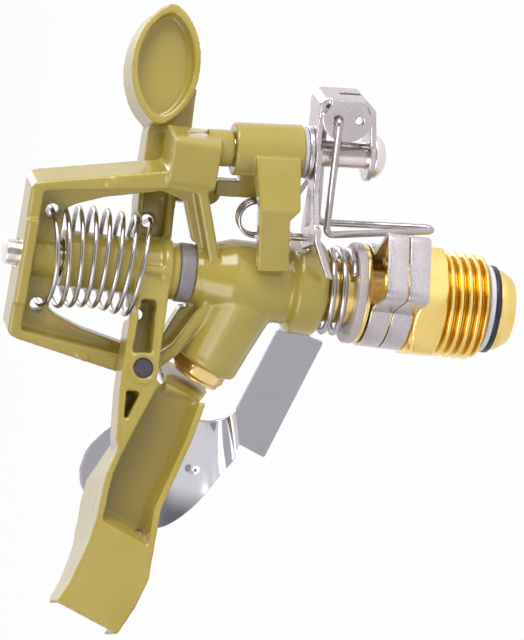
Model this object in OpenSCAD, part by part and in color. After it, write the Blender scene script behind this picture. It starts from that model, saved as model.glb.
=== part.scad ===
// Impact sprinkler head with trip mechanism, for a half inch thread.
// Z is the axis of rotation, pointing up. The origin is on that axis at the foot of the inlet thread.
// The jet leaves towards -X, and the bridge, the nozzle and the trip pin lie in the XZ plane.

/* [Inlet bearing] */
// Outside diameter of the inlet thread
thread_d = 20.955; // [20.9:0.005:21.0]
// Pitch of the inlet thread
thread_pitch = 1.814; // [1.81:0.001:1.82]
// Depth of the thread, crest to root
thread_depth = 1.16; // [0.9:0.02:1.2]
// Length of the thread
thread_len = 9.4; // [9.4:0.1:12]
// Number of full crests on the thread
thread_crests = 5; // [4:1:5]
// Width across the flats of the hexagon
hex_af = 21.2; // [21:0.1:24]
// Diameter that the hexagon's corners are turned to
hex_corner_d = 23.4; // [22.6:0.1:24]
// Angle of the hexagon about the axis
hex_turn = -12; // [-30:1:30]
// Height of the hexagon
hex_h = 6.0; // [5:0.1:7]
// Diameter of the shoulder that the trip collars grip
shoulder_d = 18.7; // [18.2:0.1:19]
// Diameter of the neck above the shoulder
neck_d = 14.4; // [14:0.1:15.4]
// Diameter of the flange on top of the neck
flange_d = 19.5; // [19:0.1:20]
// Thickness of that flange
flange_t = 0.8; // [0.6:0.1:1]

/* [Trip collars] */
// Height of one collar strip
collar_h = 4.1; // [3.6:0.1:4.2]
// Thickness of the collar strip
collar_t = 0.8; // [0.6:0.1:1]
// Height of the gap between and beside the collars
collar_gap = 0.3; // [0.25:0.05:0.4]
// Direction of the collars' stop loop, seen from above
collar_angle = -56; // [-70:1:-45]
// Radius that the stop loop reaches
loop_r = 19.6; // [18:0.1:20]
// Half width of the stop loop at its outer wall
loop_half_w = 6.5; // [5.5:0.1:7]
// Half width of the stop loop's lines at the axis
loop_root_half_w = 4.8; // [4.4:0.1:5.2]

/* [Sleeve and seals] */
// Outside diameter of the rotating sleeve
sleeve_d = 12.6; // [12:0.1:13]
// Bore of the sleeve
sleeve_bore_d = 9.5; // [9:0.1:10]
// Diameter of the sleeve's lower flange
sleeve_flange_d = 15.9; // [15.6:0.1:16.6]
// Height of the sleeve's lower flange
sleeve_flange_h = 3.5; // [3:0.1:4]
// Diameter of the lower washer and seal
lower_washer_d = 17.2; // [16.8:0.1:17.6]
// Thickness of the lower nylon washer
lower_washer_t = 1.15; // [1:0.05:1.3]
// Thickness of the rubber seal
seal_t = 1.15; // [1:0.05:1.3]
// Diameter of the upper nylon washer
upper_washer_d = 19.9; // [19:0.1:20.4]
// Thickness of the upper nylon washer
upper_washer_t = 1.7; // [1.4:0.1:2]

/* [Pressure spring] */
// Wire diameter of the pressure spring
press_wire_d = 1.3; // [1.1:0.1:1.4]
// Mean diameter of the pressure spring's coils
press_coil_d = 16.4; // [16:0.1:16.8]
// Height of the pressure spring
press_h = 5.7; // [5.4:0.1:6.2]
// Turns of the pressure spring
press_turns = 2.2; // [2:0.1:2.3]

/* [Body] */
// Diameter of the body's lower collar
body_collar_d = 18.8; // [18.2:0.1:19.2]
// Height of the body's lower collar
body_collar_h = 6.2; // [5.5:0.1:6.6]
// Diameter of the body's barrel
barrel_d = 15.4; // [15:0.1:16]
// Diameter of the body's top
body_top_d = 10.8; // [10.4:0.1:11.4]
// Height of the body from its foot to its top
body_h = 26.0; // [25:0.1:26.4]

/* [Nozzle] */
// Angle of the jet above level
jet_angle = 22; // [20:0.5:24]
// Height above the body's foot that the jet line starts from
jet_rise = 13.3; // [12.8:0.1:13.8]
// Length of the nozzle barrel along the jet line
nozzle_barrel_len = 19.2; // [18.8:0.1:19.4]
// Diameter of the nozzle barrel at its mouth
nozzle_barrel_d = 13.5; // [13.2:0.1:13.8]
// Diameter of the nozzle barrel at the body
nozzle_root_d = 13.2; // [12.8:0.1:13.6]
// Width across the flats of the nozzle's hexagon
nozzle_af = 10; // [9.6:0.1:11.2]
// Thickness of the nozzle's hexagon
nozzle_hex_t = 2.4; // [2:0.1:2.6]
// Thickness of the nozzle's tip flange
nozzle_tip_t = 0.8; // [0.6:0.1:1.5]
// Diameter of the jet orifice
orifice_d = 3.6; // [3:0.1:4.2]

/* [Bridge] */
// Height of the bridge above the body's top
bridge_h = 34.7; // [34.3:0.1:35.3]
// Half width of the bridge at its top
bridge_top_w = 15.4; // [15:0.1:16]
// Half width of the bridge at its foot
bridge_foot_w = 20.9; // [20.4:0.1:21.2]
// Height above the body's top where the legs of the bridge end
leg_foot_h = 8.9; // [8.3:0.1:9.3]
// Depth of the bridge's outer flange
bridge_depth = 10; // [9.6:0.1:10.2]
// Thickness of the bridge's middle web
bridge_web_t = 3; // [2.6:0.1:3.4]
// Thickness of the bridge's top lip
bridge_lip = 2.6; // [2.3:0.1:3]
// Depth of the boss in the middle of the bridge's top
bridge_boss_depth = 12.6; // [11.6:0.1:13]

/* [Fulcrum pin and arm hub] */
// Diameter of the pin that the arm swings on
fulcrum_d = 5; // [4.8:0.05:5.2]
// Height of that pin above the body's top
fulcrum_h = 37.3; // [36.7:0.1:37.9]
// Depth of that pin's seat in the body
fulcrum_seat = 7; // [6:0.1:7.4]
// Diameter of the arm's hub
hub_d = 11.2; // [10.8:0.1:11.4]
// Height of the arm's hub
hub_h = 22.8; // [22.4:0.1:23]
// Thickness of the grey washer under the hub
thrust_t = 3; // [2.8:0.1:3.2]
// Outside diameter of the hub's bushes
bush_d = 7.4; // [7:0.1:7.8]
// Length of each bush
bush_len = 6; // [5:0.5:8]

/* [Swing arm] */
// Angle of the arm from the bridge at rest
arm_yaw = 22; // [22:0.5:23]
// Height of the arm's lower edge above the hub's foot
arm_low = 1.7; // [1.5:0.1:2.1]
// Depth of a beam of the arm
beam_depth = 7; // [6.6:0.1:7]
// Thickness of the arm's edges
rail_t = 1.3; // [1.1:0.1:1.5]
// Thickness of the arm's web
web_t = 1.5; // [1.3:0.1:1.5]
// Half length of the counterweight
weight_half_l = 12; // [11.4:0.1:12.4]
// Half height of the counterweight
weight_half_h = 6.8; // [6.4:0.1:7]
// Depth of the counterweight
weight_depth = 9; // [8:0.1:9.4]
// Width of the counterweight's rim
weight_rim = 1.2; // [1:0.1:1.6]
// Diameter of the strike plug
plug_d = 3.9; // [3.6:0.1:4.1]

/* [Arm spring] */
// Wire diameter of the arm spring
arm_wire_d = 0.95; // [0.9:0.05:1]
// Mean diameter of the arm spring's coils
arm_coil_d = 19; // [18.8:0.1:19.2]
// Height of the arm spring's first coil above the body's top
spring_top_h = 29.3; // [29.1:0.1:29.5]
// Rise of the arm spring from one turn to the next
arm_spring_pitch = 2.53; // [2.5:0.01:2.56]
// Sideways bow of the arm spring at its middle
arm_spring_bow = 0.9; // [0.5:0.1:1]

/* [Trip mechanism] */
// Distance of the trip pin from the body's axis, at the trip plate
trip_x = 27.05; // [26.8:0.05:27.3]
// Height of the trip plate's reference above the body's foot
trip_rise = 5.3; // [5.1:0.1:5.5]
// Lean of the trip pin, its foot outwards
trip_lean = 4; // [3:0.5:4.5]
// Diameter of the trip pin
trip_pin_d = 5.2; // [5:0.05:5.3]
// Diameter of the trip pin's round head
trip_head_d = 8.8; // [8.4:0.1:9.2]
// Thickness of the trip bracket's sheet
sheet_t = 1.1; // [0.9:0.1:1.2]
// Height between the bracket's two plates
yoke_h = 9.8; // [9.6:0.1:10]
// Length of the yoke from the pin to its back
yoke_l = 12.3; // [11.8:0.1:12.8]
// Outside width of the yoke over its ears
yoke_w = 11; // [10.6:0.1:11.4]
// Thickness of the ears
ear_t = 0.9; // [0.8:0.1:1]
// Radius of the round ears
ear_r = 5; // [4.6:0.1:5.2]
// Height of the neck that carries each ear
ear_neck_h = 6.9; // [6.4:0.1:7.2]
// Diameter of the holes in the ears
ear_hole_d = 1.7; // [1.6:0.05:1.9]
// Diameter of the pivot washers
pivot_washer_d = 10.6; // [10:0.1:11]
// Thickness of each pivot washer
pivot_washer_t = 0.9; // [0.8:0.05:1]
// Diameter of the reversing dog's boss
dog_boss_d = 10.8; // [10:0.1:11]
// Height of the reversing dog's boss
dog_boss_h = 13.4; // [13:0.1:13.6]

/* [Trip wire and toggle spring] */
// Wire diameter of the trip wire
trip_wire_d = 1.4; // [1.3:0.05:1.5]
// Reach of the trip wire from its hinge to its corner
wire_reach = 23.3; // [23:0.1:23.6]
// Half width of the trip wire at its corner
wire_half_w = 4.6; // [4.4:0.1:4.8]
// Gap between the trip wire and the ear that it swings in
wire_clear = 0.8; // [0.8:0.05:1]
// Drop of the trip wire below its corner
wire_drop = 21.9; // [21:0.1:22.4]
// Wire diameter of the toggle spring
toggle_wire_d = 0.7; // [0.6:0.05:0.75]
// Mean diameter of the toggle spring's coil
toggle_coil_d = 6.8; // [6.6:0.1:7]

/* [Deflector] */
// Thickness of the deflector's sheet
flap_t = 1; // [0.8:0.1:1.2]
// Distance of the plate behind the body's axis
flap_y = 10.2; // [10.1:0.1:10.4]
// Radius that the leaf is dished to
leaf_dish_r = 45; // [42:0.5:50]
// Thread diameter of the deflector's screw
flap_screw_d = 3.5; // [3:0.1:4]

/* [Fits] */
// Radial gap of a fixed fit
fixed_gap = 0.02; // [0.01:0.005:0.03]
// Radial gap of a running fit
running_gap = 0.05; // [0.03:0.01:0.08]
// Gap between flat faces that turn on each other
face_gap = 0.05; // [0.02:0.01:0.1]

/* [Hidden] */

$fn = 48;
eps = 0.01;
far = 60;

paint = [0.72, 0.65, 0.34];
brass = [0.92, 0.74, 0.30];
steel = [0.76, 0.74, 0.76];
chrome = [0.70, 0.69, 0.72];
grey = [0.56, 0.56, 0.58];
nylon = [0.90, 0.88, 0.86];
rubber = [0.12, 0.12, 0.14];

// Heights up the bearing
hex_z = thread_len;
shoulder_z = hex_z + hex_h;
collar_low_z = shoulder_z + collar_gap;
collar_up_z = collar_low_z + collar_h + collar_gap;
flange_z = collar_up_z + collar_h + collar_gap;
upper_washer_z = flange_z + flange_t;
press_z = upper_washer_z + upper_washer_t;
body_z = press_z + press_h;
body_top_z = body_z + body_h;
hub_rise = thrust_t + 2 * face_gap;
hub_top = hub_rise + hub_h;
chamfer = 1.0;

// Heights down the sleeve
lower_washer_z = -lower_washer_t;
seal_z = lower_washer_z - seal_t;
sleeve_z = seal_z - sleeve_flange_h;
sleeve_socket = 8;
sleeve_len = body_z + sleeve_socket - sleeve_z;

// Jet line
jet_z = body_z + jet_rise;
nozzle_thread_d = 9.2;
nozzle_thread_len = 7;
nozzle_wall = 1.2;
chamber_d = sleeve_bore_d + 0.8;
gusset_l = 14;
gusset_root_d = 15.2;
gusset_lean = 3.5;

// Bridge outlines, up from the body's top
leg_in_top = 14.1;
leg_in_foot = 17.4;
window_top_h = 26.9;
window_top_w = 10.7;
window_mid_h = 19.7;
window_mid_w = 13.4;
window_low_w = 16.2;
web_hole_x = arm_coil_d / 2;
web_hole_d = 2.8;
pin_boss_d = 7.9;
knuckle_x0 = 18.0;
knuckle_x1 = 28.0;
knuckle_h = 9.4;
knuckle_depth = 11;
corner_r = 1.5;

// Trip frame, measured from the reference on the pin
trip_z = body_z + trip_rise;
dog_z = sheet_t + face_gap + 2 * pivot_washer_t + 2 * face_gap + 0.4;
dog_top = dog_z + dog_boss_h;
knuckle_low = dog_top + 3.15;
pin_top = knuckle_low + knuckle_h - 1.4;
plate_z = 0.4;
plate_low_z = plate_z - yoke_h;
head_h = 2.9;
ear_x = 8.2;
ear_c = [8.8, -3.9];
ear_hole_z = -2.1;
ear_hole_low_z = -6.3;
plate_w = yoke_w - 2 * ear_t - 0.8;
plate_end = -18.8;
stud_x = -16.8;
stud_y = -0.8;
stud_d = 2.2;
stud_h = 3.4;
toggle_x = -13.2;
toggle_z = 11.3;
toggle_turns = 2;
toggle_pitch = 1.3;
toggle_hole_x = -9.6;
toggle_hole_z = 7.6;
dog_bar_y = -10.2;
dog_bar_t = 2.6;

// Arm outlines, along the arm and up from the body's top
low_edge = hub_rise + arm_low;
weight_x = 39.6;
weight_rise = 9.7;
arm_hole_h = 9.3;
plug_x = -20.0;
plug_rise = 8.7;
arm_back = 1.5;
arm_front = arm_back - beam_depth;
web_y = 0.8;
blade_y = -5;
step_x = -49.35;
step_rise = 8.9;
step_lean = 20.6;
step_turn = -26.6;
vane_root = [-24.5, web_y, -4.4];
vane_l = 16;
vane_top = 3;

// Deflector, up from the body's foot
flap_pivot = [-5.2, 2.3];
leaf_c = [-44.6, 23.7];
leaf_sag = 4.2;
flap_boss_d = 6.4;
flap_screw_in = 4.3;
plate_outline = [[-38.9, 2.3], [-13.6, -5.4], [-12.9, -2.3], [-6.5, -1.1], [-2.2, 0.3], [-2.2, 4.3],
    [-6.4, 5.7], [-12.2, 3.3], [-11.9, 4.1], [-29.7, 9.7], [-33.2, 11.7], [-37.4, 10.1], [-36.7, 7.8]];
leaf_outline = [[-29.7, 9.7], [-34.3, 14.8], [-32.8, 20.3], [-33, 26.3], [-35, 31.3], [-37.9, 34.7],
    [-41.6, 37.5], [-46.4, 38.3], [-49.6, 37.5], [-53.6, 34], [-56.4, 28.4], [-57.3, 23.5],
    [-56.4, 18.9], [-51.6, 14.2],
    [-45.3, 10.5], [-38.8, 8.1], [-35.4, 7.9]];

// Turns what follows so that its own Z runs along the jet, from the body's axis outwards
module on_jet() {
    translate([0, 0, jet_z]) rotate([0, jet_angle - 90, 0]) children();
}

// Puts what follows in the trip frame, whose Z is the leaning trip pin
module on_trip() {
    translate([trip_x, 0, trip_z]) rotate([0, -trip_lean, 0]) children();
}

// Puts what follows on the body's top
module on_top() {
    translate([0, 0, body_top_z]) children();
}

// Puts what follows in the arm's frame, on the body's top and at the arm's rest angle
module on_arm() {
    on_top() rotate([0, 0, arm_yaw]) children();
}

// An outline given along X and up Z, made solid from y0 to y1
module upright(y0, y1) {
    translate([0, y1, 0]) rotate([90, 0, 0]) linear_extrude(height = y1 - y0) children();
}

// A box between two corners
module block(lo, hi) {
    translate(lo) cube(hi - lo);
}

// A round bar from point p to point q
module bar(p, q, d) {
    v = q - p;
    translate(p) rotate([0, acos(v[2] / norm(v)), atan2(v[1], v[0])]) cylinder(h = norm(v), d = d);
}

// A flat ring from height z, with its bore
module ring(z, t, d, bore) {
    translate([0, 0, z]) difference() {
        cylinder(h = t, d = d);
        translate([0, 0, -eps]) cylinder(h = t + 2 * eps, d = bore);
    }
}

// A straight value between two others
function mix(a, b, t) = a + (b - a) * t;

// The middles of the rings of a tube, each with the direction from its neighbours
function heading(p, i) =
    let (a = p[max(i - 1, 0)], b = p[min(i + 1, len(p) - 1)]) (b - a) / norm(b - a);

// A tube of six sides swept along the points p, which never run along ref
module tube(p, d, ref) {
    n = len(p);
    sides = 6;
    rings = [for (i = [0 : n - 1])
        let (t = heading(p, i),
             u = cross(t, ref) / norm(cross(t, ref)),
             v = cross(t, u))
        for (k = [0 : sides - 1]) p[i] + d / 2 * (u * cos(60 * k) + v * sin(60 * k))];
    walls = [for (i = [0 : n - 2], k = [0 : sides - 1])
        let (a = i * sides + k, b = i * sides + (k + 1) % sides)
        each [[a, b, b + sides], [a, b + sides, a + sides]]];
    first = [for (k = [1 : sides - 2]) [0, k + 1, k]];
    end = (n - 1) * sides;
    last = [for (k = [1 : sides - 2]) [end, end + k, end + k + 1]];
    polyhedron(points = rings, faces = concat(walls, first, last));
}

// The least gap of a coiled tube to itself, on points at least half a turn apart
function self_gap(p, d, skip) =
    min([for (i = [0 : len(p) - 1], j = [i + skip : 1 : len(p) - 1]) norm(p[i] - p[j])]) - d;

steps = 8;

// Arm spring: it starts behind the bridge's left hole and winds down to the arm's hole
arm_turns = 7 + (180 + arm_yaw) / 360;
function arm_tilt(k) = k < 0.5 ? mix(0.4, 2.6, 2 * k) : mix(2.6, -1.2, (k - 0.5) / (arm_turns - 0.5));
function arm_dip(k) = mix(-0.6, 0.8, k / arm_turns);
function arm_point(k) =
    let (a = 180 + 360 * k, r = arm_coil_d / 2, s = k / arm_turns)
    [r * cos(a) + arm_spring_bow * pow(sin(180 * s), 2), r * sin(a),
     body_top_z + spring_top_h - arm_spring_pitch * k + arm_tilt(k) / 2 * cos(a) - arm_dip(k) * sin(a)];
arm_end = arm_point(arm_turns);
arm_end_dir = [-sin(arm_yaw), cos(arm_yaw), 0];
arm_rings = floor(arm_turns * steps);
arm_path = concat(
    [arm_point(0) + [0, 3.2, 0], arm_point(0) + [0, 1.6, 0]],
    [for (i = [0 : arm_rings]) arm_point(i / steps)],
    [arm_end, arm_end + arm_end_dir * 2.2, arm_end + arm_end_dir * 4.6]);
echo(arm_spring_gap = self_gap([for (i = [0 : arm_rings]) arm_point(i / steps)], arm_wire_d, 5));

// Pressure spring: flat end turns and a steady rise between them
press_rings = floor(press_turns * steps);
press_rise = press_h - press_wire_d - 2 * face_gap;
function press_point(i) =
    let (a = 360 * i / steps - 50, s = min(max((i - 1) / (press_rings - 2), 0), 1))
    [press_coil_d / 2 * cos(a), press_coil_d / 2 * sin(a),
     press_z + press_wire_d / 2 + face_gap + press_rise * s];
press_path = [for (i = [0 : press_rings]) press_point(i)];
echo(pressure_spring_gap = self_gap(press_path, press_wire_d, 5));

// Toggle spring: a coil about Y, one leg down to the stud and one into the dog
toggle_y = -3.4;
function toggle_point(i) =
    let (a = 180 - 360 * i / steps)
    [toggle_x + toggle_coil_d / 2 * cos(a), toggle_y + toggle_pitch * i / steps,
     toggle_z + toggle_coil_d / 2 * sin(a)];
toggle_rings = toggle_turns * steps + 4;
toggle_path = concat(
    [[toggle_hole_x, dog_bar_y + dog_bar_t + 0.4, toggle_hole_z],
     [toggle_hole_x, toggle_y - 1.6, toggle_hole_z],
     [toggle_x - toggle_coil_d / 2 + 1.2, toggle_y - 0.9, toggle_z - 2.4]],
    [for (i = [0 : toggle_rings]) toggle_point(i)]);
echo(toggle_spring_gap =
    self_gap([for (i = [0 : toggle_rings]) toggle_point(i)], toggle_wire_d, 5));

// Bearing

// Ridges of the thread, each with a flat crest of full size
function thread_profile() = [for (i = [0 : thread_crests - 1])
    let (z = 1.3 + i * thread_pitch, r = thread_d / 2, w = 0.25)
    each [[r - thread_depth, z - thread_pitch / 2 + w], [r, z - w], [r, z + w],
          [r - thread_depth, z + thread_pitch / 2 - w]]];

module bearing_nipple() {
    root_r = thread_d / 2 - thread_depth;
    color(brass) difference() {
        union() {
            rotate_extrude() polygon(concat(
                [[0, 0], [root_r - chamfer / 2, 0], [root_r, chamfer / 2]],
                thread_profile(),
                [[root_r, hex_z + eps], [0, hex_z + eps]]));
            translate([0, 0, hex_z]) intersection() {
                rotate([0, 0, hex_turn]) cylinder(h = hex_h, d = hex_af / cos(30), $fn = 6);
                rotate_extrude() polygon([
                    [0, 0], [hex_corner_d / 2 - 0.8, 0], [hex_corner_d / 2, 0.8],
                    [hex_corner_d / 2, hex_h - 1.1], [hex_corner_d / 2 - 1.3, hex_h], [0, hex_h]]);
            }
            translate([0, 0, shoulder_z - eps])
                cylinder(h = collar_low_z + collar_h + 1.4 - shoulder_z, d = shoulder_d);
            translate([0, 0, shoulder_z]) cylinder(h = flange_z - shoulder_z + eps, d = neck_d);
            translate([0, 0, flange_z]) cylinder(h = flange_t, d = flange_d);
        }
        translate([0, 0, -eps]) cylinder(h = far, d = sleeve_d + 2 * running_gap);
    }
}

module lower_nylon_washer() {
    color(nylon) ring(lower_washer_z, lower_washer_t, lower_washer_d, sleeve_d + 2 * running_gap);
}

module lower_rubber_seal() {
    color(rubber) ring(seal_z, seal_t, lower_washer_d + 0.1, sleeve_d + 2 * running_gap);
}

module upper_nylon_washer() {
    color(nylon) ring(upper_washer_z, upper_washer_t, upper_washer_d, sleeve_d + 2 * running_gap);
}

module pressure_spring() {
    color(steel) tube(press_path, press_wire_d, [0, 0, 1]);
}

// A strip bent to a ring, with a stop loop standing out along +X
module collar_strip() {
    outer = [loop_r - collar_t / 2, loop_half_w];
    bend = 1.4;
    difference() {
        union() {
            cylinder(h = collar_h, d = shoulder_d + 2 * running_gap + 2 * collar_t);
            linear_extrude(height = collar_h) loop_outline(outer, collar_t / 2, bend);
        }
        translate([0, 0, -1]) cylinder(h = collar_h + 2, d = shoulder_d + 2 * running_gap);
        translate([0, 0, -1]) linear_extrude(height = collar_h + 2) loop_outline(outer, -collar_t / 2, bend);
    }
}

// The loop's outline, grown by g, with rounded outer corners
module loop_outline(outer, g, bend) {
    r = bend + g;
    polygon(concat(
        [[0, -loop_root_half_w - g], [0, loop_root_half_w + g]],
        [for (a = [90 : -15 : 0]) [outer[0] - bend + r * cos(a), outer[1] - bend + r * sin(a)]],
        [for (a = [0 : -15 : -90]) [outer[0] - bend + r * cos(a), bend - outer[1] + r * sin(a)]]));
}

module trip_collar_lower() {
    color(steel) translate([0, 0, collar_low_z]) rotate([0, 0, collar_angle]) collar_strip();
}

module trip_collar_upper() {
    color(steel) translate([0, 0, collar_up_z]) rotate([0, 0, collar_angle]) collar_strip();
}

module sleeve_tube() {
    color(brass) difference() {
        union() {
            translate([0, 0, sleeve_z]) cylinder(h = sleeve_len, d = sleeve_d);
            translate([0, 0, sleeve_z]) rotate_extrude() polygon([
                [0, 0], [sleeve_flange_d / 2 - 1.4, 0], [sleeve_flange_d / 2, 2.2],
                [sleeve_flange_d / 2, sleeve_flange_h], [0, sleeve_flange_h]]);
        }
        translate([0, 0, sleeve_z - eps]) cylinder(h = far + 20, d = sleeve_bore_d);
        for (a = [70, 250]) rotate([0, 0, a])
            block([sleeve_bore_d / 2, -1.5, sleeve_z - 1], [sleeve_flange_d, 1.5, sleeve_z + 1.2]);
    }
}

// Head

// Half of the bridge's outside, out to the legs
function bridge_half() = [[bridge_foot_w, leg_foot_h], [bridge_top_w + 0.5, bridge_h - 2],
    [bridge_top_w, bridge_h - 0.7], [bridge_top_w - 0.9, bridge_h]];

function flip(p) = [for (i = [len(p) - 1 : -1 : 0]) [-p[i][0], p[i][1]]];

module bridge_frame() {
    half = bridge_half();
    outside = concat(half, flip(half));
    low = leg_foot_h - 1;
    window = [[window_low_w, low], [window_mid_w, window_mid_h], [window_top_w + 0.7, window_top_h - 2],
        [window_top_w - 0.6, window_top_h]];
    flange_in = [[leg_in_foot, low], [leg_in_top, bridge_h - bridge_lip]];
    boss_w = 8.5;
    intersection() {
        union() {
            upright(-bridge_depth / 2, bridge_depth / 2) difference() {
                polygon(outside);
                polygon(concat(flange_in, flip(flange_in)));
            }
            block([-boss_w, -bridge_boss_depth / 2, bridge_h - bridge_lip + 0.2],
                  [boss_w, bridge_boss_depth / 2, bridge_h]);
        }
        rotate([90, 0, 90]) linear_extrude(height = far, center = true) polygon([
            [-8, 1], [8, 1], [8, bridge_h - 1.9], [3, bridge_h], [-5.6, bridge_h], [-8, bridge_h - 1]]);
    }
    upright(-bridge_web_t / 2, bridge_web_t / 2) difference() {
        polygon(outside);
        polygon(concat(window, flip(window)));
    }
    translate([0, 0, window_top_h - 0.2]) cylinder(h = bridge_h - window_top_h, d = pin_boss_d);
}

// The sloping members that carry the legs, on the knuckle's side and on the nozzle's side
module bridge_roots() {
    rise = 0.352;
    foot_z = rise * (knuckle_x0 - 0.5) - 5.1;
    leg_z = leg_foot_h + 0.4;
    out = bridge_foot_w - 0.2;
    foot = [[2, -5.1], [knuckle_x0 + 1.5, foot_z]];
    top = [[leg_in_foot, leg_z], [leg_in_foot - 0.2, 2.5], [2, -2.9]];
    web_top = [[window_low_w, leg_z], [14.6, 4.1], [5.6, 0.7], [2, -0.3]];
    upright(-bridge_depth / 2, bridge_depth / 2) polygon(concat(foot, [[out, 1.3], [out, leg_z]], top));
    upright(-bridge_web_t / 2, bridge_web_t / 2) polygon(concat(foot, [[out, leg_z]], web_top));
    left_out = [[-out, leg_z], [0.3 - out, 5.9], [-15.2, 0.6], [-4, -4.7]];
    upright(-bridge_depth / 2, bridge_depth / 2)
        polygon(concat(left_out, [[-4, -2.7], [-13.4, 2.2], [-leg_in_foot, 6.7], [-leg_in_foot, leg_z]]));
    upright(-bridge_web_t / 2, bridge_web_t / 2)
        polygon(concat(left_out, [[-4, 0.1], [-13.8, 4.2], [-window_low_w, leg_z]]));
}

// A block with its upright edges rounded
module round_block(x0, x1, depth, z0, z1, r) {
    translate([0, 0, z0]) linear_extrude(height = z1 - z0) {
        translate([x0 + r, -depth / 2]) square([x1 - x0 - 2 * r, depth]);
        translate([x0, r - depth / 2]) square([x1 - x0, depth - 2 * r]);
        for (x = [x0 + r, x1 - r], y = [r - depth / 2, depth / 2 - r]) translate([x, y]) circle(r = r);
    }
}

module head_body() {
    rc = body_collar_d / 2;
    rb = barrel_d / 2;
    rt = body_top_d / 2;
    cz = body_collar_h;
    color(paint) difference() {
        union() {
            translate([0, 0, body_z]) rotate_extrude() polygon([
                [0, 0], [rc - 1.1, 0], [rc, 1.1], [rc, cz - 0.4], [rc - 0.4, cz], [rb, cz + 0.7],
                [rb, body_h - 7.5], [rt + 0.5, body_h - 1.6], [rt, body_h - 0.9], [rt, body_h], [0, body_h]]);
            on_jet() rotate_extrude() polygon([
                [0, 3], [nozzle_root_d / 2, 3], [nozzle_barrel_d / 2, nozzle_barrel_len - 0.9],
                [nozzle_barrel_d / 2 - 0.3, nozzle_barrel_len - 0.3],
                [nozzle_barrel_d / 2 - 0.9, nozzle_barrel_len], [0, nozzle_barrel_len]]);
            on_jet() translate([0, 0, nozzle_barrel_len - 1.2]) rotate([0, -gusset_lean, 0])
                translate([0, 0, -gusset_l])
                    cylinder(h = gusset_l, d1 = gusset_root_d, d2 = nozzle_barrel_d - 0.2);
            on_top() bridge_frame();
            on_top() bridge_roots();
            translate([0, 0, trip_z + knuckle_low])
                round_block(knuckle_x0, knuckle_x1, knuckle_depth, 0, knuckle_h, corner_r);
            on_trip() translate([0, 0, dog_top + 0.15]) cylinder(h = 5, d = 7.2);
            intersection() {
                translate([flap_pivot[0], 0, body_z + flap_pivot[1]]) rotate([-90, 0, 0])
                    cylinder(h = flap_y - 0.3, d = flap_boss_d);
                block([-far, 0, body_z], [far, far, body_z + far]);
            }
        }
        translate([0, 0, body_z - eps]) cylinder(h = sleeve_socket, d = sleeve_d + 2 * fixed_gap);
        translate([0, 0, body_z]) cylinder(h = jet_z - body_z, d = chamber_d);
        translate([0, 0, jet_z]) sphere(d = chamber_d);
        on_jet() cylinder(h = nozzle_barrel_len, d = nozzle_thread_d - 2 * nozzle_wall + 0.2);
        on_jet() translate([0, 0, nozzle_barrel_len - nozzle_thread_len])
            cylinder(h = nozzle_thread_len + eps, d = nozzle_thread_d + 2 * fixed_gap);
        translate([0, 0, body_top_z - fulcrum_seat]) cylinder(h = far, d = fulcrum_d + 2 * fixed_gap);
        on_trip() cylinder(h = pin_top, d = trip_pin_d + 2 * fixed_gap);
        for (x = [-web_hole_x, web_hole_x]) translate([x, -far / 2, body_top_z + spring_top_h])
            rotate([-90, 0, 0]) cylinder(h = far, d = web_hole_d);
        translate([flap_pivot[0], flap_y - flap_screw_in - 0.2, body_z + flap_pivot[1]]) rotate([-90, 0, 0])
            cylinder(h = 8, d = flap_screw_d + 2 * fixed_gap);
        on_top() cylinder(h = low_edge - 0.2, d = hub_d + 2.4);
        translate([0, 0, body_z]) block([trip_x + plate_end - 0.4, -6.6, 4.1], [12, 5, body_collar_h + 1]);
    }
}

module nozzle() {
    color(brass) on_jet() difference() {
        union() {
            translate([0, 0, nozzle_barrel_len - nozzle_thread_len])
                cylinder(h = nozzle_thread_len, d = nozzle_thread_d);
            translate([0, 0, nozzle_barrel_len + 0.02])
                cylinder(h = nozzle_hex_t, d = nozzle_af / cos(30), $fn = 6);
            translate([0, 0, nozzle_barrel_len + nozzle_hex_t])
                cylinder(h = nozzle_tip_t, d = nozzle_af - 0.2);
            translate([0, 0, nozzle_barrel_len - eps]) cylinder(h = nozzle_tip_t, d = nozzle_thread_d);
        }
        translate([0, 0, nozzle_barrel_len - nozzle_thread_len - eps])
            cylinder(h = nozzle_thread_len, d1 = nozzle_thread_d - 2 * nozzle_wall, d2 = orifice_d);
        cylinder(h = far, d = orifice_d);
    }
}

module fulcrum_pin() {
    bevel = 0.5;
    color(steel) on_top() rotate_extrude() polygon([
        [0, -fulcrum_seat], [fulcrum_d / 2, -fulcrum_seat], [fulcrum_d / 2, fulcrum_h - bevel],
        [fulcrum_d / 2 - bevel, fulcrum_h], [0, fulcrum_h]]);
}

module hub_thrust_washer() {
    color(grey) on_top() ring(face_gap, thrust_t, hub_d + 0.4, fulcrum_d + 2 * running_gap);
}

// Arm

// The channel's top edge and low edge, from the blade's tip to the nozzle, up from the body's top
channel_top = [[-66.4, 21.1], [-62, 18.8], [-54.1, 15.9], [-49.1, 14.8], [-44.2, 14.3], [-41, 13.8],
    [-34.9, 11.7], [-26.5, 8.2], [-22.3, 6.2]];
channel_low = [[-71.4, 8.7], [-66, 5.7], [-60.5, 3.6], [-50.8, 2.8], [-46.7, 2.5], [-38.8, -0.3],
    [-32.8, -2.4], [-25.3, -4.4]];

function lower_by(p, t) = [for (q = p) [q[0], q[1] - t]];
function back_to_front(p) = [for (i = [len(p) - 1 : -1 : 0]) p[i]];

module channel_outline() {
    polygon(concat(channel_low, [[-24.2, -3.8], [-22.0, 2.4]], back_to_front(channel_top)));
}

// The lens outline of the counterweight, with half length l and half height h
module lens(l, h) {
    polygon([for (a = [0 : 9 : 351]) [l * cos(a), h * sign(sin(a)) * pow(abs(sin(a)), 1.25)]]);
}

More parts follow.
